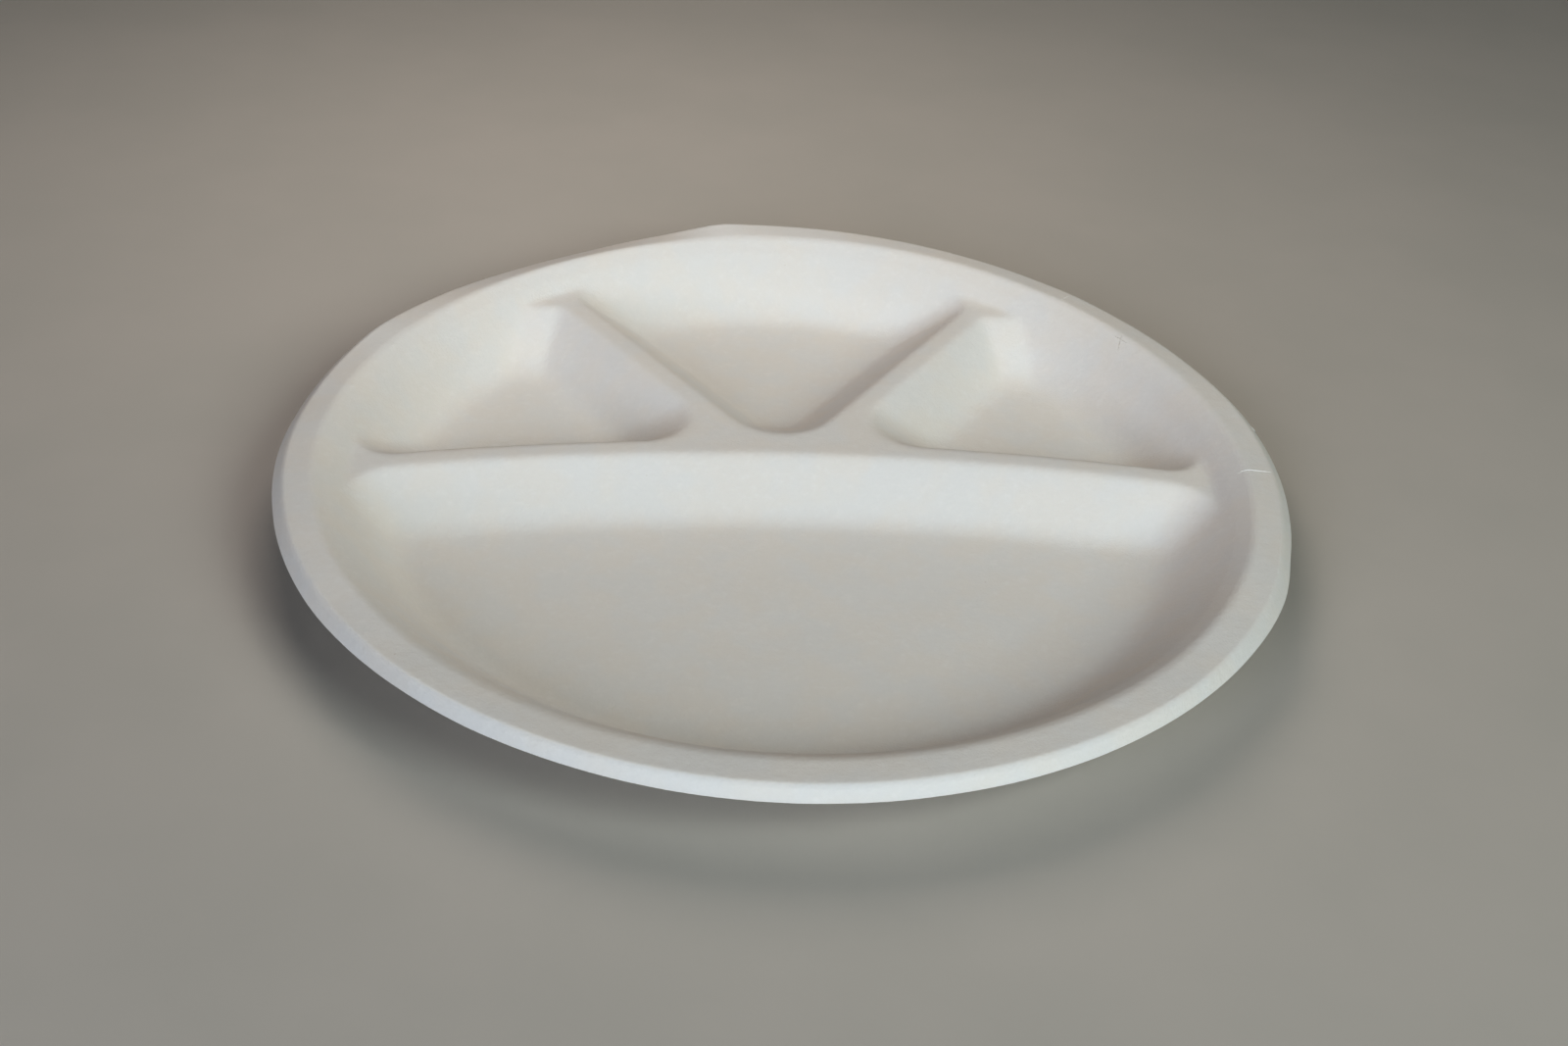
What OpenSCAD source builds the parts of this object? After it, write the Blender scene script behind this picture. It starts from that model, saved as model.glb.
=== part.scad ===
// Round paper plate with four compartments, moulded in one piece from plant fibre.
// One large pocket lies at the front (-Y) and three small ones at the back (+Y).
// The plate is a thin sheet of even thickness, so its ridges are hollow from below.
// Millimetres. The origin is on the table, under the middle of the plate.

/* [Plate] */
// Outer diameter, over the edge of the turned-down lip
plate_d = 260; // [240:1:280]
// Height of the rim's crest above the table, before its rounding
plate_h = 18.5; // [17:0.5:24]
// Thickness of the pressed sheet
wall = 0.8; // [0.6:0.1:1.2]

/* [Rim] */
// Width of the turned-down lip, seen from above
lip_w = 2.8; // [2:0.1:4]
// Drop of the turned-down lip
lip_drop = 3; // [2:0.1:4.5]
// Width of the flange, from the lip's fold to the crest
flange_w = 7.7; // [6:0.1:11]
// Fall of the flange from the crest out to the lip's fold
flange_fall = 0.8; // [0.3:0.1:1.2]
// Width of the bevel inside the crest
bevel_w = 4.6; // [4:0.1:7]
// Fall of the bevel
bevel_fall = 3.1; // [2:0.1:3.6]
// Slope of the wall below the bevel, in degrees from level
rim_slope = 45; // [42:1:60]
// Rounding of the crest
crest_round = 4; // [3:0.5:8]
// Rounding of the lip's fold
fold_round = 1.5; // [1.2:0.1:2]

/* [Ridges] */
// How far the ridge tops lie below the crest
ridge_drop = 6; // [4.5:0.1:7]
// Width of a ridge top, between the planes of its two walls
ridge_w = 6.4; // [5:0.1:9]
// Slope of the ridge walls, in degrees from level
ridge_slope = 38; // [34:1:50]
// Rounding of a ridge's two top edges
ridge_round = 3.5; // [3:0.5:6]
// Radius that the main ridge is bowed to, in plan
bow_r = 518; // [350:1:900]
// Distance from the plate's middle to the main ridge, at the top of its bow
bow_y = 11.5; // [5:0.5:18]
// Angle of each radial ridge from the plate's fore-and-aft line
fan_angle = 34.3; // [30:0.1:40]
// Point on the fore-and-aft line that the radial ridges fan out from
fan_y = 1; // [-3:0.5:5]

/* [Pockets] */
// Rounding where a pocket's wall runs into its floor
floor_round = 10.5; // [8:0.5:15]
// Plan corner at the front of the middle pocket, level with the ridge tops
middle_corner = 15.5; // [10:0.5:18]
// Plan corner of a side pocket beside the junction, level with the ridge tops
side_corner = 13.5; // [10:0.5:18]
// Plan corner of the front pocket where the main ridge meets the rim wall
front_corner = 12.5; // [8:0.5:14]
// Plan corner of a side pocket where the main ridge meets the rim wall
rim_corner = 9; // [5:0.5:12]
// Plan corner of a side pocket where a radial ridge meets the rim wall
fan_corner = 13; // [8:0.5:15]
// Plan corner of the middle pocket where a radial ridge meets the rim wall
back_corner = 7; // [5:0.5:12]
// Plan corner of every pocket at its floor
floor_corner = 9; // [6:0.5:10]
// Rounding where a ridge's top runs up into the rim wall
land_round = 4.5; // [2:0.5:5]

/* [Hidden] */

// Facets of the round rim
rim_facets = 96;
// Steps in a floor rounding, in a ridge's edge and in a rim rounding
floor_steps = 4;
edge_steps = 3;
rim_steps = 3;
// Steps in a pocket's plan corner, and degrees between points on its longer arcs
corner_steps = 6;
arc_angle = 360 / rim_facets;
bow_steps = 12;

outer_r = plate_d / 2;
fold_r = outer_r - lip_w;
crest_r = fold_r - flange_w;
bevel_r = crest_r - bevel_w;
fold_z = plate_h - flange_fall;
lip_z = fold_z - lip_drop;
bevel_z = plate_h - bevel_fall;
land_z = plate_h - ridge_drop;
floor_z = wall;

// The rim wall meets the floor at foot_r, and a ridge wall runs in by ridge_run
foot_r = bevel_r - (bevel_z - floor_z) / tan(rim_slope);
ridge_run = (land_z - floor_z) / tan(ridge_slope);

// The bowed ridge is an arc about bow_middle, and a radial ridge starts at fan_start
bow_middle = [0, bow_y - bow_r];
fan_start = [0, fan_y];
fan_along = [sin(fan_angle), cos(fan_angle)];
fan_across = [cos(fan_angle), -sin(fan_angle)];
// A side pocket is straight along the bowed ridge, and this averages out the bow
bow_trim = pow(bevel_r / 4, 2) / bow_r / 2;

// At a ridge's end the rim wall stands in from the pockets' walls by end_lap
end_lap = 0.3;
// How far a pocket's flared edge is drawn above the ridge tops that it cuts
edge_over = 0.3;
// Far enough to reach below the plate and outside it
below = 10;

function bearing(v) = atan2(v.y, v.x);
function mirrored(p) = [-p.x, p.y];

// Points of an arc, with both ends or with neither
function arc(middle, r, from, to, steps) =
    [for (i = [0:steps])
        let (a = from + (to - from) * i / steps) middle + r * [cos(a), sin(a)]];
function inner_arc(middle, r, from, to, steps) =
    [for (i = [1:steps - 1])
        let (a = from + (to - from) * i / steps) middle + r * [cos(a), sin(a)]];
function arc_steps(from, to) = max(2, ceil((to - from) / arc_angle));

// Points of the arc that rounds corner b between a and c with radius r
function rounded(a, b, c, r, steps) =
    let (
        u = (a - b) / norm(a - b),
        v = (c - b) / norm(c - b),
        half = acos(u * v) / 2,
        middle = b + (u + v) / norm(u + v) * r / sin(half),
        from = b + u * r / tan(half) - middle,
        to = b + v * r / tan(half) - middle,
        sweep = 180 - 2 * half
    )
    [for (i = [0:steps])
        middle + (sin(sweep * (1 - i / steps)) * from + sin(sweep * i / steps) * to)
            / sin(sweep)];

// Where a line beside the right-hand radial ridge, at a distance across from its
// middle, runs out through a circle
function fan_meets(across, middle, r) =
    let (
        start = fan_start + across * fan_across,
        m = start - middle,
        along = sqrt(r * r - m * m + pow(m * fan_along, 2)) - m * fan_along
    )
    start + along * fan_along;

// Where a circle of radius r about the plate's middle meets one about bow_middle
function bow_meets(r, from_bow) =
    let (y = (pow(from_bow, 2) - r * r - pow(bow_middle.y, 2)) / -bow_middle.y / 2)
    [sqrt(r * r - y * y), y];

// Horizontal reach of a rounding of radius r, a height h from where it is level
function round_reach(r, h) = sqrt(max(0, 2 * r * h - h * h));

// All that follows describes the sheet's upper face at depth 0, and a parallel face
// inside or under the sheet at a larger depth.

// How far a ridge wall stands in from the ridge's edge, at height z
function ridge_inset(z, depth) =
    let (
        down = max(-edge_over, land_z - depth - z),
        up = z - (floor_z - depth),
        edge_r = ridge_round - depth,
        foot_round = floor_round + depth,
        half = tan(ridge_slope / 2),
        bend = 1 - cos(ridge_slope)
    )
    down < 0 ? down / tan(ridge_slope / edge_steps / 2) - ridge_round * half
    : down <= edge_r * bend ? round_reach(edge_r, down) - ridge_round * half
    : up <= foot_round * bend
        ? ridge_run + floor_round * half - round_reach(foot_round, up)
    : down / tan(ridge_slope) - depth * half;

// Radius of the rim wall at height z
function rim_radius(z, depth) =
    let (
        up = z - (floor_z - depth),
        foot_round = floor_round + depth,
        half = tan(rim_slope / 2)
    )
    up <= foot_round * (1 - cos(rim_slope))
        ? foot_r - floor_round * half + round_reach(foot_round, up)
    : foot_r + depth * half + up / tan(rim_slope);

// Heights at which a pocket's outline is drawn, from its floor to above the rim
function pocket_heights(depth) = concat(
    [for (i = [0:floor_steps])
        floor_z - depth
            + (floor_round + depth) * (1 - cos(rim_slope * i / floor_steps))],
    [for (i = [edge_steps:-1:1])
        land_z - depth
            - (ridge_round - depth) * (1 - cos(ridge_slope * i / edge_steps))],
    [land_z - depth + edge_over, plate_h]
);

// A plan corner's radius at height z, where it is top_corner at the ridge tops
function corner_radius(top_corner, z, depth) =
    let (share = min(1, max(0, land_z - depth - z) / (land_z - floor_z)))
    top_corner + (floor_corner - top_corner) * share + depth;

// Outline of the front pocket: the rim, a corner, the bowed ridge and a corner
function front_outline(edge, rim, corner) =
    let (
        from_bow = bow_r - edge,
        right = bow_meets(rim - corner, from_bow - corner),
        a = bearing(right),
        b = bearing(right - bow_middle)
    )
    concat(
        inner_arc([0, 0], rim, 180 - a, 360 + a, arc_steps(180 - a, 360 + a)),
        arc(right, corner, a, b, corner_steps),
        inner_arc(bow_middle, from_bow, b, 180 - b, bow_steps),
        arc(mirrored(right), corner, 180 - b, 180 - a, corner_steps)
    );

// Outline of the middle pocket: its point, a corner, the rim and a corner
function middle_outline(edge, rim, corner, point_corner) =
    let (
        point = fan_start + [0, (edge + point_corner) / sin(fan_angle)],
        right = fan_meets(-edge - corner, [0, 0], rim - corner),
        a = bearing(right)
    )
    concat(
        arc(point, point_corner, 180 + fan_angle, 360 - fan_angle, corner_steps),
        arc(right, corner, -fan_angle, a, corner_steps),
        inner_arc([0, 0], rim, a, 180 - a, arc_steps(a, 180 - a)),
        arc(mirrored(right), corner, 180 - a, 180 + fan_angle, corner_steps)
    );

// Outline of the right-hand pocket: its corner at the junction, a corner, the rim
// and a corner at the radial ridge
function side_outline(edge, rim, corner, junction_corner, end_corner) =
    let (
        from_bow = bow_r + edge + bow_trim,
        junction = fan_meets(
            edge + junction_corner, bow_middle, from_bow + junction_corner),
        low = bow_meets(rim - corner, from_bow + corner),
        high = fan_meets(edge + end_corner, [0, 0], rim - end_corner),
        a = bearing(low),
        b = bearing(high)
    )
    concat(
        arc(junction, junction_corner, 180 - fan_angle,
            360 + bearing(bow_middle - junction), corner_steps),
        arc(low, corner, 360 + bearing(bow_middle - low), 360 + a, corner_steps),
        inner_arc([0, 0], rim, a, b, arc_steps(a, b)),
        arc(high, end_corner, b, 180 - fan_angle, corner_steps)
    );

// Outline of a pocket at height z
function pocket_outline(pocket, z, depth) =
    let (
        edge = ridge_w / 2 + ridge_inset(z, depth),
        rim = rim_radius(z, depth),
        front_end = corner_radius(front_corner, z, depth),
        main_end = corner_radius(rim_corner, z, depth),
        fan_end = corner_radius(fan_corner, z, depth),
        back_end = corner_radius(back_corner, z, depth),
        point = corner_radius(middle_corner, z, depth),
        junction = corner_radius(side_corner, z, depth)
    )
    pocket == "front" ? front_outline(edge, rim, front_end)
    : pocket == "middle" ? middle_outline(edge, rim, back_end, point)
    : side_outline(edge, rim, main_end, junction, fan_end);

// The hollow of a pocket, lofted from outline to outline
module pocket_hollow(pocket, depth) {
    heights = pocket_heights(depth);
    thin = 0.01;
    for (i = [0:len(heights) - 2])
        hull()
            for (z = [heights[i], heights[i + 1]])
                translate([0, 0, z]) linear_extrude(thin)
                    polygon(pocket_outline(pocket, z, depth));
}

// Half section of the disc under the sheet's upper face, as if it had no pockets:
// the lip, flange, crest and bevel, and the rim wall down to the ridge tops
module disc_section(depth) {
    lip_edge = [outer_r, lip_z];
    fold = [fold_r, fold_z];
    crest = [crest_r, plate_h];
    wall_top = [bevel_r - end_lap, bevel_z - end_lap * bevel_fall / bevel_w];
    wall_foot = [wall_top.x - (wall_top.y - land_z) / tan(rim_slope), land_z];
    base = -below - 3 * depth;
    intersection() {
        union() {
            offset(delta = -depth) polygon(concat(
                [[outer_r, base], lip_edge],
                rounded(lip_edge, fold, crest, fold_round, rim_steps),
                rounded(fold, crest, wall_top, crest_round, rim_steps),
                [wall_top],
                rounded(wall_top, wall_foot, [0, land_z], land_round, rim_steps),
                [[-below, land_z], [-below, base]]
            ));
            // Under the lip there is nothing
            if (depth > 0)
                translate([crest_r, base]) square([outer_r, lip_z - base]);
        }
        translate([0, base]) square([2 * outer_r, 2 * outer_r]);
    }
}

// All that lies under the sheet's upper face, or under a parallel face below it
module solid_under(depth) {
    difference() {
        rotate_extrude($fn = rim_facets) disc_section(depth);
        for (pocket = ["front", "middle", "side"]) pocket_hollow(pocket, depth);
        mirror([1, 0, 0]) pocket_hollow("side", depth);
    }
}

module plate() {
    color([0.88, 0.87, 0.84])
        difference() {
            solid_under(0);
            solid_under(wall);
        }
}

plate();
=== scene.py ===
import math

import bpy
import numpy as np
from mathutils import Matrix, Vector


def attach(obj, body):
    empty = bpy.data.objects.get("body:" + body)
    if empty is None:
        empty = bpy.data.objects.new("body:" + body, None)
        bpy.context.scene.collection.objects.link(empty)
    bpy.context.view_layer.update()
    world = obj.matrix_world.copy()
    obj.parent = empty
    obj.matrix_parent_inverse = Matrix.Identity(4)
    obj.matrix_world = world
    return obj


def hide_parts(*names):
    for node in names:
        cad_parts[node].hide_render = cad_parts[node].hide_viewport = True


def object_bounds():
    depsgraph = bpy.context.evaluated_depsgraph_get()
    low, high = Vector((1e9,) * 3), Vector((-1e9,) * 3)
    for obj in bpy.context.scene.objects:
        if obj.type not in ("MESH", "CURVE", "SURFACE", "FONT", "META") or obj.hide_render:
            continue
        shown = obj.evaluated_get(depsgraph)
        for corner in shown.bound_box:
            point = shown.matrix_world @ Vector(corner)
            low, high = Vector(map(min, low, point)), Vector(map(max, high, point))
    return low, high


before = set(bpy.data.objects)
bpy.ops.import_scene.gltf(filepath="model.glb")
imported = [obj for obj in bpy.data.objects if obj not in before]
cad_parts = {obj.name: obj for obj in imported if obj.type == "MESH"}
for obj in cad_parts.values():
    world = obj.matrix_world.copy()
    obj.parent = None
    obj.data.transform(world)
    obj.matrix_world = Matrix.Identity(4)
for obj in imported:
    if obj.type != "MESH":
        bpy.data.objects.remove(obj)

# A moulded-fibre plate with one wide pocket in front and three small ones behind it.
# The sheet is built again here over the frame's plate, with finer steps, softer edges
# and this plate's own warp and marks. Shapes are in millimetres and become metres when
# the mesh is made. X runs to the right, Y away from the wide pocket and Z up, and a
# point in plan is a complex number x + iy.

MM = 0.001
CAD_LOW, CAD_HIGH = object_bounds()

# The rim, from the edge of its turned-down lip inwards
OUTER_R = CAD_HIGH.x / MM
CREST_Z = 18.5
WALL = 0.8
LIP_W = 2.8
LIP_DROP = 3.0
FLANGE_W = 7.7
FLANGE_FALL = 0.8
BEVEL_W = 4.6
BEVEL_FALL = 3.1
RIM_SLOPE = math.radians(45)
FOLD_ROUND = 1.5
CREST_ROUND = 4.0
BEVEL_ROUND = 7.0

# The main ridge, which is an arc of a large bow, and the two radial ones, which fan out
# from a point behind it
RIDGE_DROP = 6.0
RIDGE_W = 6.4
RIDGE_SLOPE = math.radians(38)
RIDGE_ROUND = 3.2
BOW_R = 518.0
BOW_Y = 11.5
FAN_ANGLE = math.radians(34.3)
FAN_Y = 1.0

# The rounding where walls meet the floor, which is tighter on the back of the ridges
FLOOR_ROUND = 10.5
BACK_ROUND = 6.5

# Radii of the pockets' corners in plan, at the ridge tops: the middle pocket's point, the
# side pockets' inner corner, the front pocket's ends, the side pockets' front corner at
# the rim and the middle pocket's back corners
MIDDLE_CORNER = 15.5
SIDE_CORNER = 13.5
FRONT_CORNER = 12.5
RIM_CORNER = 9.0
BACK_CORNER = 7.0

# The same at the floor: the middle pocket's point, and all the others
MIDDLE_FLOOR_CORNER = 9.0
FLOOR_CORNER = 4.5

# The flat across a side pocket's corner at its radial ridge and the rim, which faces the
# front: how far it lies in front of the corner at the floor and at the ridge tops, and
# the difference in depth over which it blends into the walls beside it
FLAT_CUT = (5.1, 5.5)
FLAT_BLEND = 1.6

# Worked out from these: radii and heights along the rim, the run of a ridge's wall, the
# bow's middle, and the right-hand radial ridge's start, its direction and the one across
FOLD_R = OUTER_R - LIP_W
CREST_R = FOLD_R - FLANGE_W
BEVEL_R = CREST_R - BEVEL_W
BEVEL_Z = CREST_Z - BEVEL_FALL
LAND_Z = CREST_Z - RIDGE_DROP
FLOOR_Z = WALL
FOOT_R = BEVEL_R - (BEVEL_Z - FLOOR_Z) / math.tan(RIM_SLOPE)
RIDGE_RUN = (LAND_Z - FLOOR_Z) / math.tan(RIDGE_SLOPE)
BOW_MIDDLE = 1j * (BOW_Y - BOW_R)
FAN_START = 1j * FAN_Y
FAN_ALONG = complex(math.sin(FAN_ANGLE), math.cos(FAN_ANGLE))
FAN_ACROSS = complex(math.cos(FAN_ANGLE), -math.sin(FAN_ANGLE))

# The height map: its half width and the distance between its points, how many times the
# search for a wall's height halves its range, the blur that softens the edges as the pulp
# does, how many times its size it reaches, and the width over which it fades out in front
# of the bevel
MAP_HALF = 132.0
MAP_STEP = 0.5
HALVINGS = 20
BLUR = 0.8
BLUR_REACH = 3
BLUR_FADE = 3.0

# How the sheet departs from its mould: wavelengths and heights of its soft waves, how
# many make up each kind, how their lengths spread about the wavelength, and how far the
# sheet is lifted so that its lowest points rest on the table
UNEVEN = ((30.0, 0.03), (9.0, 0.006))
UNEVEN_WAVES = 48
UNEVEN_SPREAD = (0.7, 1.5)
UNEVEN_SEED = 11
UNEVEN_LIFT = 0.09

# The mesh: rings from the middle to the edge, closer together from a radius outwards, and
# how far the sheet's cut edge bulges
RINGS = 108
RIM_RINGS = 20
RIM_FROM = 112.0
EDGE_BULGE = 0.15


def dot(a, b):
    return (np.conj(a) * b).real


def cross(a, b):
    return (np.conj(a) * b).imag


def rounded(a, b, c, radius, steps=16):
    """Points of the arc that rounds corner b between a and c."""
    u, v = (a - b) / abs(a - b), (c - b) / abs(c - b)
    half = math.acos(dot(u, v)) / 2
    middle = b + (u + v) / abs(u + v) * radius / math.sin(half)
    start = b + u * radius / math.tan(half) - middle
    end = b + v * radius / math.tan(half) - middle
    sweep = np.angle(end / start)
    return [middle + start * np.exp(1j * sweep * i / steps) for i in range(steps + 1)]


def rim_profile():
    """Radii and heights of the rim's upper face, from the middle to past its edge."""
    edge = complex(OUTER_R, CREST_Z - FLANGE_FALL - LIP_DROP)
    fold = complex(FOLD_R, CREST_Z - FLANGE_FALL)
    crest = complex(CREST_R, CREST_Z)
    bevel = complex(BEVEL_R, BEVEL_Z)
    foot = complex(FOOT_R, FLOOR_Z)
    middle = complex(0, FLOOR_Z)
    points = np.array(
        [middle]
        + rounded(middle, foot, bevel, FLOOR_ROUND)
        + rounded(foot, bevel, crest, BEVEL_ROUND)
        + rounded(bevel, crest, fold, CREST_ROUND)
        + rounded(crest, fold, edge, FOLD_ROUND)
        + [edge, 2 * edge - fold]
    )
    return points.real, points.imag


def reach(radius, height):
    """Horizontal reach of a rounding, a height from where it is level."""
    return np.sqrt(np.maximum(0, 2 * radius * height - height**2))


def ridge_edge(z, floor_round=FLOOR_ROUND):
    """Distance from a ridge's middle line to its wall at height z."""
    down, up = LAND_Z - z, z - FLOOR_Z
    half = math.tan(RIDGE_SLOPE / 2)
    bend = 1 - math.cos(RIDGE_SLOPE)
    inset = np.where(
        down <= RIDGE_ROUND * bend,
        reach(RIDGE_ROUND, down) - RIDGE_ROUND * half,
        np.where(
            up <= floor_round * bend,
            RIDGE_RUN + floor_round * half - reach(floor_round, up),
            down / math.tan(RIDGE_SLOPE),
        ),
    )
    return RIDGE_W / 2 + inset


def rim_radius(z):
    """Radius of the rim wall at height z."""
    up = z - FLOOR_Z
    return np.where(
        up <= FLOOR_ROUND * (1 - math.cos(RIM_SLOPE)),
        FOOT_R - FLOOR_ROUND * math.tan(RIM_SLOPE / 2) + reach(FLOOR_ROUND, up),
        FOOT_R + up / math.tan(RIM_SLOPE),
    )


def between(floor, top, z):
    """A plan measure at height z, from those at the floor and at the ridge tops."""
    return top + (floor - top) * (LAND_Z - z) / (LAND_Z - FLOOR_Z)


def corner_radius(top, z):
    """A plan corner's radius at height z, where it is top at the ridge tops."""
    return between(FLOOR_CORNER, top, z)


def bow_meets(radius, from_bow):
    """Where a circle about the plate's middle meets one about the bow's."""
    y = (from_bow**2 - radius**2 - BOW_MIDDLE.imag**2) / -BOW_MIDDLE.imag / 2
    return np.sqrt(radius**2 - y**2) + 1j * y


def fan_meets(across, middle, radius):
    """Where a line beside the right-hand radial ridge runs out through a circle."""
    start = FAN_START + across * FAN_ACROSS
    m = start - middle
    inward = dot(m, FAN_ALONG)
    along = np.sqrt(radius**2 - abs(m) ** 2 + inward**2) - inward
    return start + along * FAN_ALONG


def with_corner(depth, p, middle, radius, toward_a, toward_b):
    """Depth in a pocket, round its plan corner between two outward directions."""
    d = p - middle
    turn = cross(toward_a, toward_b)
    in_corner = (cross(d, toward_b) / turn > 0) & (cross(toward_a, d) / turn > 0)
    return np.where(in_corner, radius - abs(d), depth)


def front_depth(p, z):
    """How far a point lies inside the front pocket's outline at height z."""
    edge, rim, r = ridge_edge(z), rim_radius(z), corner_radius(FRONT_CORNER, z)
    depth = np.minimum(rim - abs(p), BOW_R - edge - abs(p - BOW_MIDDLE))
    c = bow_meets(rim - r, BOW_R - edge - r)
    return with_corner(depth, p, c, r, c, c - BOW_MIDDLE)


def middle_depth(p, z):
    """How far a point on the right lies inside the middle pocket's outline at height z."""
    edge = ridge_edge(z, BACK_ROUND)
    rim, r = rim_radius(z), corner_radius(BACK_CORNER, z)
    point_r = between(MIDDLE_FLOOR_CORNER, MIDDLE_CORNER, z)
    depth = np.minimum(rim - abs(p), -dot(p - FAN_START, FAN_ACROSS) - edge)
    point = FAN_START + 1j * (edge + point_r) / math.sin(FAN_ANGLE)
    depth = with_corner(depth, p, point, point_r, FAN_ACROSS, -np.conj(FAN_ACROSS))
    c = fan_meets(-edge - r, 0, rim - r)
    return with_corner(depth, p, c, r, FAN_ACROSS, c)


def side_depth(p, z):
    """How far a point lies inside the right-hand pocket's outline at height z."""
    edge, rim, r = ridge_edge(z), rim_radius(z), corner_radius(RIM_CORNER, z)
    bow_edge = BOW_R + ridge_edge(z, BACK_ROUND)
    inner_r = corner_radius(SIDE_CORNER, z)
    depth = np.minimum(rim - abs(p), dot(p - FAN_START, FAN_ACROSS) - edge)
    depth = np.minimum(depth, abs(p - BOW_MIDDLE) - bow_edge)
    c = fan_meets(edge + inner_r, BOW_MIDDLE, bow_edge + inner_r)
    depth = with_corner(depth, p, c, inner_r, -FAN_ACROSS, BOW_MIDDLE - c)
    c = bow_meets(rim - r, bow_edge + r)
    depth = with_corner(depth, p, c, r, BOW_MIDDLE - c, c)
    flat = (fan_meets(edge, 0, rim) - p).imag - between(*FLAT_CUT, z)
    overlap = np.maximum(0, 1 - abs(depth - flat) / FLAT_BLEND)
    return np.minimum(depth, flat) - FLAT_BLEND * overlap**2 / 4


def pocket_height(depth_at, p):
    """Height of a pocket's floor and walls at p, up to the ridge tops."""
    low = np.full(p.shape, FLOOR_Z)
    high = np.full(p.shape, LAND_Z)
    at_floor = depth_at(p, low) >= 0
    for _ in range(HALVINGS):
        z = (low + high) / 2
        inside = depth_at(p, z) >= 0
        high = np.where(inside, z, high)
        low = np.where(inside, low, z)
    return np.where(at_floor, FLOOR_Z, high)


def bowl_height(p):
    """Height of the pockets and of the ridges between them, where x is not negative."""
    lowest = np.full(p.shape, LAND_Z)
    near = abs(p) < BEVEL_R
    for depth_at in (front_depth, middle_depth, side_depth):
        lowest[near] = np.minimum(lowest[near], pocket_height(depth_at, p[near]))
    return lowest


def blurred(height):
    """The height map under a round blur."""
    steps = math.ceil(BLUR_REACH * BLUR / MAP_STEP)
    weights = np.exp(-((np.arange(-steps, steps + 1) * MAP_STEP / BLUR) ** 2) / 2)
    weights /= weights.sum()
    for axis in (0, 1):
        pad = [(steps, steps) if axis == k else (0, 0) for k in (0, 1)]
        wide = np.moveaxis(np.pad(height, pad, mode="edge"), axis, 0)
        count = height.shape[axis]
        mean = sum(w * wide[k:k + count] for k, w in enumerate(weights))
        height = np.moveaxis(mean, 0, axis)
    return height


# This plate's warp, which sets in at a radius. Its rim rises and falls in waves: how many
# there are round the rim, and the heights of their cosine and sine, all turned clockwise
# by an angle.
WARP_FROM = 100.0
WARP_WAVES = ((2, -0.87, 0.37), (3, -0.09, -0.69))
WARP_TURN = math.radians(4.2)

# The flange's own bends, as bearing in degrees, lift at its edge and shift outwards, and
# how many degrees to either side they are eased
FLANGE_BENDS = np.array([
    (-180, 0.0, -0.3), (-169, 0.0, -0.6), (-158, 0.0, -0.3), (-149, 0.0, 0.0),
    (-112, 0.3, 0.0), (-80, 0.0, 0.0), (-56, -0.3, 0.0), (-37, 0.1, 0.3), (-28, 0.3, 0.5),
    (-24, 0.0, 0.3), (-17, 0.0, -0.8), (-7, 0.0, -0.6), (4, 0.1, 0.1),
    (14, 0.8, 0.2), (24, 0.0, 0.0), (39, -0.6, 0.0), (46, -0.6, 0.0),
    (51, -0.9, 0.0), (67, -0.8, 0.0), (80, 0.0, 0.0), (92, 1.1, 0.0),
    (97, 2.0, 0.0), (105, -1.3, 0.0), (117, -3.0, 0.0), (127, -2.3, 0.0),
    (142, 0.4, 0.0), (151, 2.0, 0.0), (159, 0.9, 0.0), (169, 0.0, -0.3),
    (180, 0.0, -0.3),
])
BEND_EASE = 1.5

# In front the flange is level up to its fold, which lies higher and further out there.
# Both fade out between two angles from the front, in degrees.
FRONT_LIFT = 1.1
FRONT_SHIFT = 1.6
FRONT_FADE = (42, 58)


def rim_lift(bearing):
    """Lift of the rim at a bearing, in radians from +X towards +Y."""
    t = bearing + WARP_TURN
    return sum(c * np.cos(n * t) + s * np.sin(n * t) for n, c, s in WARP_WAVES)


def bend(bearing, column):
    """A column of the flange's bends at a bearing, with a soft turn at each of them."""
    offsets = np.linspace(-BEND_EASE, BEND_EASE, 7)
    bearings, values = FLANGE_BENDS[:, 0], FLANGE_BENDS[:, column]
    near = [np.interp(np.degrees(bearing) + o, bearings, values, period=360) for o in offsets]
    return sum(near) / len(near)


def flange_share(p):
    """0 at the crest and inside it, 1 at the rim's edge."""
    return np.clip((abs(p) - CREST_R) / (OUTER_R - CREST_R), 0, 1)


def front_fold(p):
    """1 at the lip's fold in front, 0 at the crest, at the edge and at the back."""
    at_fold = np.interp(abs(p), (CREST_R, FOLD_R, OUTER_R), (0, 1, 0))
    from_front = abs(np.angle(p * 1j, deg=True))
    return at_fold * np.interp(from_front, FRONT_FADE, (1, 0))


def warp(p):
    """Lift of the sheet at a point in plan."""
    bearing = np.angle(p)
    share = np.clip((abs(p) - WARP_FROM) / (OUTER_R - WARP_FROM), 0, 1)
    flange = bend(bearing, 1) * flange_share(p) + FRONT_LIFT * front_fold(p)
    return rim_lift(bearing) * share + flange


def shifted(p):
    """Where a point in plan lies once the flange's edge is shifted in or out."""
    out = bend(np.angle(p), 2) * flange_share(p) + FRONT_SHIFT * front_fold(p)
    return p * (1 + out / OUTER_R)


def uneven(p, wavelength, height):
    """Soft random waves over the plan, of about a wavelength and a height."""
    random = np.random.default_rng(UNEVEN_SEED)
    total = 0
    for _ in range(UNEVEN_WAVES):
        size = wavelength * random.uniform(*UNEVEN_SPREAD)
        direction = np.exp(1j * random.uniform(0, 2 * math.pi))
        total += np.cos(2 * math.pi * dot(p, direction) / size + random.uniform(0, 2 * math.pi))
    return total * height * math.sqrt(2 / UNEVEN_WAVES)


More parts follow.
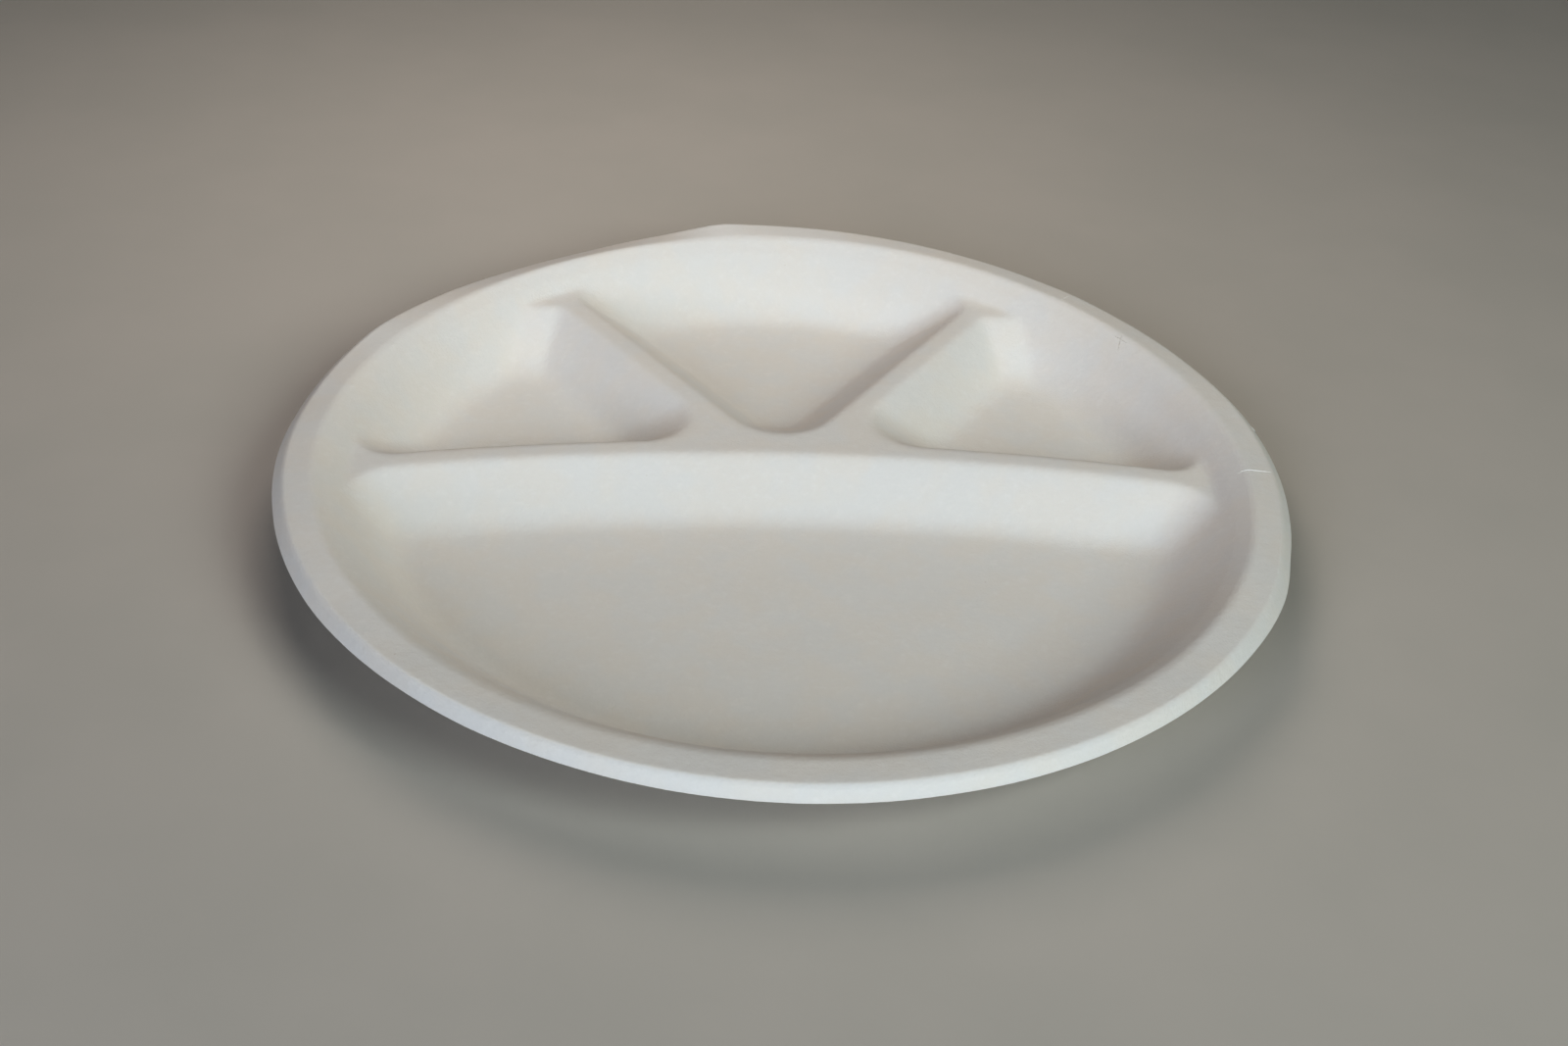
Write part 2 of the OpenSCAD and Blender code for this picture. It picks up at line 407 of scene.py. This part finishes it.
def height_map():
    """Heights of the upper face on a square grid, and their slopes along X and Y."""
    count = 2 * round(MAP_HALF / MAP_STEP) + 1
    along = np.linspace(-MAP_HALF, MAP_HALF, count)
    x, y = np.meshgrid(along, along, indexing="ij")
    p = x + 1j * y
    right_half = bowl_height(p[count // 2:])
    bowl = np.concatenate([right_half[:0:-1], right_half])
    exact = np.maximum(bowl, np.interp(abs(p), *rim_profile()))
    share = np.clip((BEVEL_R - abs(p)) / BLUR_FADE, 0, 1)
    height = exact + (blurred(exact) - exact) * share + warp(p) + UNEVEN_LIFT
    for wavelength, wave_height in UNEVEN:
        height += uneven(p, wavelength, wave_height)
    return height, *np.gradient(height, MAP_STEP)


def read_map(values, p):
    """A map's values at points in plan, between its own points."""
    u = (p.real + MAP_HALF) / MAP_STEP
    v = (p.imag + MAP_HALF) / MAP_STEP
    i, j = np.floor(u).astype(int), np.floor(v).astype(int)
    s, t = u - i, v - j
    return (
        (values[i, j] * (1 - s) + values[i + 1, j] * s) * (1 - t)
        + (values[i, j + 1] * (1 - s) + values[i + 1, j + 1] * s) * t
    )


def ring_radii():
    """Radii of the mesh's rings, from the middle outwards."""
    inner = np.linspace(0, RIM_FROM, RINGS - RIM_RINGS + 1)
    outer = np.linspace(RIM_FROM, OUTER_R, RIM_RINGS + 1)
    return np.concatenate([inner, outer[1:]])


def plan_grid():
    """Plan points of a square grid whose square rings are drawn out into round ones."""
    steps = np.arange(-RINGS, RINGS + 1)
    i, j = np.meshgrid(steps, steps, indexing="ij")
    ring = np.maximum(abs(i), abs(j))
    side = np.maximum(ring, 1)
    quarter = math.pi / 4
    on_x = np.where(i >= 0, quarter * j / side, math.pi - quarter * j / side)
    on_y = np.where(j >= 0, math.pi / 2 - quarter * i / side, quarter * i / side - math.pi / 2)
    angle = np.where(abs(j) > abs(i), on_y, on_x)
    return ring_radii()[ring] * np.exp(1j * angle)


def quads_between(number):
    """The quads between a grid's points, by the points' numbers."""
    return np.stack([number[:-1, :-1], number[1:, :-1], number[1:, 1:], number[:-1, 1:]], -1)


def sheet_quads(number):
    """The plan grid's quads, each starting on its diagonal that points outwards."""
    quads = quads_between(number)
    half = len(number) // 2
    for part in (quads[half:, :half], quads[:half, half:]):
        part[:] = np.roll(part, 1, axis=-1)
    return quads.reshape(-1, 4)


def edge_loop(number):
    """Numbers of the plan grid's outermost points, in order round the plate."""
    return np.concatenate(
        [number[-1, :-1], number[::-1, -1][:-1], number[0, ::-1][:-1], number[:, 0][:-1]]
    )


def sheet_shape(height_and_slopes):
    """Points, faces and corner normals of the sheet: its two faces and its cut edge."""
    p = plan_grid()
    number = np.arange(p.size).reshape(p.shape)
    quads, loop = sheet_quads(number), edge_loop(number)
    p = p.ravel()
    n = len(p)
    height, slope_x, slope_y = (read_map(values, p) for values in height_and_slopes)
    p = shifted(p)
    top = np.stack([p.real, p.imag, height], -1)
    normal = np.stack([-slope_x, -slope_y, np.ones(n)], -1)
    normal /= np.linalg.norm(normal, axis=1)[:, None]
    under = top - WALL * normal
    under_quads = quads[:, ::-1]

    outward = np.stack([p[loop].real, p[loop].imag, np.zeros(len(loop))], -1) / OUTER_R
    edge = (top[loop] + under[loop]) / 2 + EDGE_BULGE * outward
    ring = 2 * n + np.arange(len(loop))
    next_loop, next_ring = np.roll(loop, -1), np.roll(ring, -1)
    edge_faces = np.concatenate([
        np.stack([loop, ring, next_ring, next_loop], -1),
        np.stack([ring, loop + n, next_loop + n, next_ring], -1),
    ])

    points = np.concatenate([top, under, edge])
    faces = np.concatenate([quads, under_quads + n, edge_faces])
    edge_normal = np.zeros((len(points), 3))
    for numbers in (loop, loop + n, ring):
        edge_normal[numbers] = outward
    corner_normals = np.concatenate([
        normal[quads].reshape(-1, 3),
        -normal[under_quads].reshape(-1, 3),
        edge_normal[edge_faces].reshape(-1, 3),
    ])
    return points, faces, corner_normals


# Loose fibres and burrs on the flange, from end to end in plan, with width and height
FIBRES = (
    (117.3 - 2.8j, 126.6 - 2.3j, 0.42, 0.22),
    (84.2 + 86.2j, 87.2 + 89.8j, 0.3, 0.12),
    (96.9 + 67.4j, 100.1 + 62.9j, 0.3, 0.1),
    (97.4 + 62.2j, 98.9 + 66.8j, 0.25, 0.1),
    (127.2 + 23.3j, 128.9 + 23.8j, 0.4, 0.3),
)

# A fibre's steps along it, how near its pointed ends the taper stops, as a share of its
# length, and the angles of its rows of points about it, which dip into the sheet
FIBRE_STEPS = 14
FIBRE_TIP = 0.01
FIBRE_ROWS = np.radians((-20, 35, 90, 145, 200))


def fibre_shape(start, end, width, height, sheet_height):
    """Points, quads and corner normals of a fibre that lies along the sheet's face."""
    t = np.linspace(0, 1, FIBRE_STEPS + 1)
    taper = np.sqrt(np.sin(math.pi * np.clip(t, FIBRE_TIP, 1 - FIBRE_TIP)))
    p = start + (end - start) * t
    left = 1j * (end - start) / abs(end - start)
    rows, normals = [], []
    for turn in FIBRE_ROWS:
        q = p + left * math.cos(turn) * width / 2 * taper
        z = read_map(sheet_height, q) + height * math.sin(turn) * taper
        q = shifted(q)
        rows.append(np.stack([q.real, q.imag, z], -1))
        lean = left * math.cos(turn)
        normals.append((lean.real, lean.imag, math.sin(turn)))
    points = np.concatenate(rows)
    quads = quads_between(np.arange(len(points)).reshape(len(rows), -1)).reshape(-1, 4)
    return points, quads, np.array(normals)[quads // len(t)].reshape(-1, 3)


def make_plate():
    """The sheet and the fibres on it, as one piece."""
    maps = height_map()
    shapes = [sheet_shape(maps)]
    for ends_and_size in FIBRES:
        shapes.append(fibre_shape(*ends_and_size, maps[0]))
    points, faces, corner_normals = zip(*shapes)
    first = np.cumsum([0] + [len(part) for part in points])
    faces = np.concatenate([part + n for part, n in zip(faces, first)])
    mesh = bpy.data.meshes.new("plate_sheet")
    mesh.from_pydata((np.concatenate(points) * MM).tolist(), [], faces.tolist())
    mesh.shade_smooth()
    mesh.normals_split_custom_set(np.concatenate(corner_normals).tolist())
    plate = bpy.data.objects.new("plate_sheet", mesh)
    bpy.context.scene.collection.objects.link(plate)
    return plate


# The pulp's relief: size of the grain's and the felt's lumps, pitch of the forming
# screen's weave, and how high each stands
GRAIN, GRAIN_HEIGHT = 0.7, 0.08
FELT, FELT_HEIGHT = 2.2, 0.1
SCREEN_PITCH, SCREEN_HEIGHT = 1.0, 0.004

# Its colours: a warm white that clouds towards a cooler one, paler where fibres stand up,
# and the brown of specks of bark
CLOUD = 14.0
WARM = (0.88, 0.866, 0.84, 1)
COOL = (0.868, 0.868, 0.858, 1)
PALE = (0.915, 0.91, 0.895, 1)
BARK = (0.36, 0.27, 0.18, 1)

# A few dark specks and more faint ones: size of the cells that may each hold one, the
# largest radius and how many stay empty, both as shares, and the strength of the colour
SPECKS = ((9.0, 0.026, 0.6, 0.7), (5.0, 0.04, 0.5, 0.2))

# The floor's two greys and the size of its clouds
FLOOR_CLOUD = 60.0
FLOOR_DARK = (0.66, 0.64, 0.605, 1)
FLOOR_LIGHT = (0.68, 0.655, 0.62, 1)


class Nodes:
    """Makes a material's nodes. Any value may be a number or another node's socket."""

    def __init__(self, material):
        material.use_nodes = True
        self.tree = material.node_tree
        self.shader = self.tree.nodes["Principled BSDF"]

    def put(self, socket, value):
        if isinstance(value, bpy.types.NodeSocket):
            self.tree.links.new(value, socket)
        else:
            socket.default_value = value

    def shade(self, **values):
        """Sets the shader's inputs, with underscores for the spaces in their names."""
        for name, value in values.items():
            self.put(self.shader.inputs[name.replace("_", " ")], value)

    def node(self, kind, values=(), **settings):
        made = self.tree.nodes.new("ShaderNode" + kind)
        for name, value in settings.items():
            setattr(made, name, value)
        for name, value in dict(values).items():
            self.put(made.inputs[name], value)
        return made

    def place(self):
        """The point on the object, in millimetres."""
        at = self.node("TexCoord").outputs["Object"]
        return self.node("VectorMath", {0: at, "Scale": 1 / MM}, operation="SCALE").outputs[0]

    def math(self, operation, *values):
        return self.node("Math", enumerate(values), operation=operation).outputs[0]

    def noise(self, place, size, detail=3.0):
        """Noise from 0 to 1 with lumps of a size."""
        values = {"Vector": place, "Scale": 1 / size, "Detail": detail, "Roughness": 0.55}
        return self.node("TexNoise", values).outputs[0]

    def ramp(self, value, low, high, to_low=0.0, to_high=1.0):
        """A soft step as the value runs from low to high."""
        values = {0: value, 1: low, 2: high, 3: to_low, 4: to_high}
        return self.node("MapRange", values, interpolation_type="SMOOTHSTEP").outputs[0]

    def mix(self, share, a, b):
        """A colour that is a at share 0 and b at share 1."""
        values = {"Factor": share, 6: a, 7: b}
        return self.node("Mix", values, data_type="RGBA").outputs[2]


def with_specks(n, colour, place, size, radius, empty, strength):
    """The colour with round specks of bark on it, of different sizes and strengths."""
    cells = n.node("TexVoronoi", {"Vector": place, "Scale": 1 / size})
    split = n.node("SeparateColor", {0: cells.outputs["Color"]})
    speck_radius = n.ramp(split.outputs[0], empty, 1.0, 0.0, radius)
    near = n.math("LESS_THAN", cells.outputs["Distance"], speck_radius)
    share = n.math("MULTIPLY", near, n.ramp(split.outputs[1], 0, 1, 0.4 * strength, strength))
    return n.mix(share, colour, BARK)


def pulp_material():
    material = bpy.data.materials.new("pulp")
    n = Nodes(material)
    place = n.place()
    grain = n.noise(place, GRAIN)
    felt = n.noise(place, FELT, 2.0)
    cloud = n.noise(place, CLOUD, 2.0)

    colour = n.mix(n.ramp(cloud, 0.35, 0.65), WARM, COOL)
    colour = n.mix(n.ramp(felt, 0.5, 0.85, 0, 0.45), colour, PALE)
    for size_and_strength in SPECKS:
        colour = with_specks(n, colour, place, *size_and_strength)

    # Relief: the screen's weave, whose threads wander with the felt, and the lumps
    x, y, _ = n.node("SeparateXYZ", {0: place}).outputs
    wander = n.math("MULTIPLY", felt, 2.0)
    turns = 2 * math.pi / SCREEN_PITCH
    weave = [
        n.math("SINE", n.math("MULTIPLY", n.math("ADD", axis, wander), turns))
        for axis in (x, y)
    ]
    relief = n.math("MULTIPLY", n.math("MULTIPLY", *weave), SCREEN_HEIGHT)
    relief = n.math("MULTIPLY_ADD", grain, GRAIN_HEIGHT, relief)
    relief = n.math("MULTIPLY_ADD", felt, FELT_HEIGHT, relief)
    bump = n.node("Bump", {"Height": relief, "Distance": MM, "Strength": 1.0})

    roughness = n.ramp(felt, 0.2, 0.8, 0.86, 0.96)
    n.shade(Base_Color=colour, Normal=bump.outputs[0], Roughness=roughness)
    n.shade(Specular_IOR_Level=0.3)
    return material


def floor_material():
    material = bpy.data.materials.new("floor")
    n = Nodes(material)
    cloud = n.ramp(n.noise(n.place(), FLOOR_CLOUD), 0.3, 0.7)
    n.shade(Base_Color=n.mix(cloud, FLOOR_DARK, FLOOR_LIGHT), Roughness=0.85)
    return material


# Camera: where it stands, the point that it looks at, its roll in degrees and its lens
CAMERA_AT = Vector((-33.5, -456.9, 309.5))
CAMERA_LOOKS_AT = Vector((-1.9, -32.2, 18.4))
CAMERA_ROLL = 3.53
CAMERA_LENS = 48.4

# The photo's contrast is a little stronger than the plain view's
VIEW_GAMMA = 0.625

# The floor's half width and its height just under the table plane, in metres
FLOOR_HALF = 4.0
FLOOR_LEVEL = -0.00002

# The faint even light from all sides: colour and strength
SKY = (1.0, 0.97, 0.93, 1)
SKY_STRENGTH = 0.08

# Square soft lamps: name, degrees to the right of the front, degrees above the table,
# distance and width in metres, power in watts and colour
LAMPS = (
    ("left", -25, 20, 1.5, 0.8, 10.75, (0.85, 0.9, 1.0)),
    ("right", 45, 35, 1.5, 0.8, 10.7, (0.94, 1.0, 0.96)),
    ("back_top", -165, 58, 0.45, 0.3, 0.72, (1.0, 0.89, 0.81)),
)


def make_camera():
    data = bpy.data.cameras.new("camera")
    data.lens = CAMERA_LENS
    data.clip_start = 0.01
    camera = bpy.data.objects.new("camera", data)
    look = CAMERA_LOOKS_AT - CAMERA_AT
    turn = look.to_track_quat("-Z", "Y").to_matrix().to_4x4()
    roll = Matrix.Rotation(math.radians(CAMERA_ROLL), 4, "Z")
    camera.matrix_world = Matrix.Translation(CAMERA_AT * MM) @ turn @ roll
    bpy.context.scene.collection.objects.link(camera)
    bpy.context.scene.camera = camera


def make_lamp(name, azimuth, elevation, distance, size, power, colour):
    """A lamp that faces the plate's middle."""
    data = bpy.data.lights.new(name, "AREA")
    data.size = size
    data.energy = power
    data.color = colour
    lamp = bpy.data.objects.new(name, data)
    a, e = math.radians(azimuth), math.radians(elevation)
    away = Vector((math.sin(a) * math.cos(e), -math.cos(a) * math.cos(e), math.sin(e)))
    lamp.location = away * distance
    lamp.rotation_euler = away.to_track_quat("Z", "Y").to_euler()
    bpy.context.scene.collection.objects.link(lamp)


def make_stage():
    """The floor, the even light and the lamps."""
    mesh = bpy.data.meshes.new("floor")
    signs = ((-1, -1), (1, -1), (1, 1), (-1, 1))
    corners = [(x * FLOOR_HALF, y * FLOOR_HALF, FLOOR_LEVEL) for x, y in signs]
    mesh.from_pydata(corners, [], [(0, 1, 2, 3)])
    floor = bpy.data.objects.new("floor", mesh)
    floor.data.materials.append(floor_material())
    bpy.context.scene.collection.objects.link(floor)
    world = bpy.data.worlds.new("studio")
    world.use_nodes = True
    background = world.node_tree.nodes["Background"]
    background.inputs["Color"].default_value = SKY
    background.inputs["Strength"].default_value = SKY_STRENGTH
    bpy.context.scene.world = world
    for lamp in LAMPS:
        make_lamp(*lamp)


make_camera()
plate = make_plate()
plate.data.materials.append(pulp_material())
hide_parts("plate")
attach(plate, "root")
make_stage()
bpy.context.scene.view_settings.view_transform = "Standard"
bpy.context.scene.view_settings.gamma = VIEW_GAMMA
